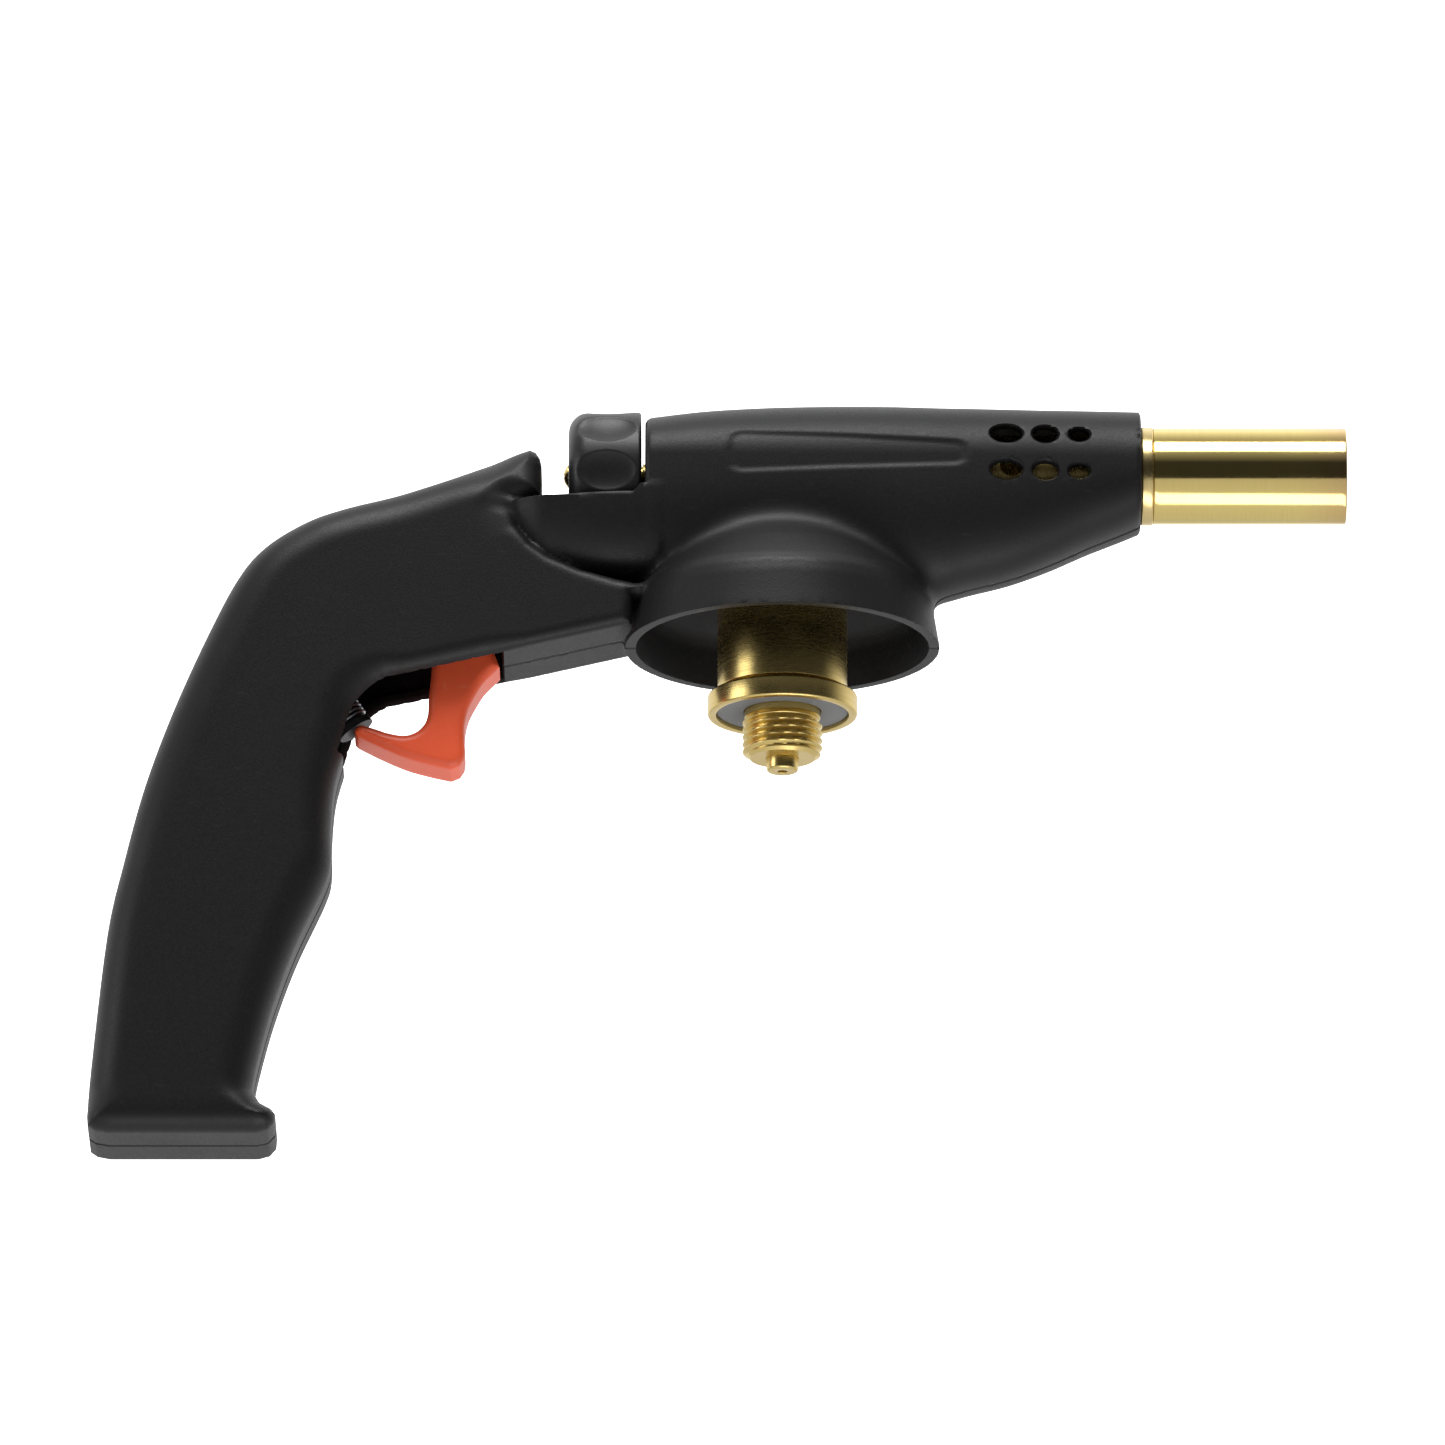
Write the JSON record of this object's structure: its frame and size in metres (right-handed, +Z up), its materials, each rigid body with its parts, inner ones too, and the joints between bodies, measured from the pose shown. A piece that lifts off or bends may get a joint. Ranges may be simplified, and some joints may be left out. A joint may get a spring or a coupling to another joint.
{
  "type": "propane torch",
  "caption": "Hand torch head with a brass burner tube, pistol grip, ignition trigger, gas knob and a male cylinder thread.",
  "frame": {"origin": "cylinder thread's axis at the face that seals against the cylinder", "axes": "+X towards the flame along the barrel, +Z up along the cylinder thread's axis, +Y to the far half of the casing"},
  "size_m": [0.2514, 0.0632, 0.1551],
  "materials": {
    "casing_black": "fine moulded matt",
    "knob_black": "satin moulded",
    "trigger_orange": "satin moulded",
    "brass_polished": "polished",
    "brass_turned": "fine turned",
    "collar_pale": "turned",
    "steel": "zinc plated",
    "spring_steel": "drawn wire",
    "washer_grey": "moulded",
    "seal_black": "moulded",
    "igniter_grey": "moulded",
    "plunger_white": "moulded",
    "lead_black": "insulated",
    "ceramic_white": "glazed ceramic",
    "filter_bronze": "sintered"
  },
  "bodies": {
    "casing": {"casing_right": "casing_black", "casing_left": "casing_black", "casing_screws": "steel", "burner_tube": "brass_polished", "burner_collar": "collar_pale", "flame_holder": "brass_turned", "mixing_tube": "brass_turned", "gas_jet": "brass_turned", "jet_holder": "brass_turned", "valve_body": "brass_turned", "packing_nut": "brass_turned", "inlet_sleeve": "brass_turned", "seal_cup": "brass_turned", "seal_washer": "washer_grey", "threaded_nipple": "brass_turned", "depressor_pin": "brass_turned", "inlet_filter": "filter_bronze", "regulator_piston": "brass_turned", "piston_seal": "seal_black", "regulator_spring": "spring_steel", "trigger_pin": "steel", "piezo_body": "igniter_grey", "piezo_spring": "spring_steel", "ignition_lead": "lead_black", "electrode_insulator": "ceramic_white", "electrode": "steel"},
    "trigger": {"trigger": "trigger_orange"},
    "spindle_feed": {"spindle_seal": "seal_black"},
    "knob": {"valve_knob": "knob_black", "knob_screw": "brass_turned", "valve_spindle": "brass_turned"},
    "plunger": {"piezo_plunger": "plunger_white"}
  },
  "joints": [
    {"name": "spindle_advance", "type": "slide", "parent": "casing", "child": "spindle_feed", "axis": [-1, 0, 0], "range_m": [0, 0.00112]},
    {"name": "knob_turn", "type": "hinge", "parent": "spindle_feed", "child": "knob", "pos_m": [-0.035, 0, 0.0504], "axis": [-1, 0, 0], "range_deg": [0, 541]},
    {"name": "trigger_pull", "type": "hinge", "parent": "casing", "child": "trigger", "pos_m": [-0.06, 0, 0.0144], "axis": [0, 1, 0], "range_deg": [0, 9], "stiffness_Nm_per_rad": 1.2, "springref_deg": -5.73},
    {"name": "plunger_press", "type": "slide", "parent": "casing", "child": "plunger", "axis": [-0.5505, 0, 0.8348], "range_m": [0, 0.00485], "deforming": ["piezo_spring"]}
  ],
  "couplings": [
    {"joint": "knob_turn", "follows": "spindle_advance", "rad_per_m": 8377.6},
    {"joint": "plunger_press", "follows": "trigger_pull", "m_per_rad": 0.030753}
  ]
}
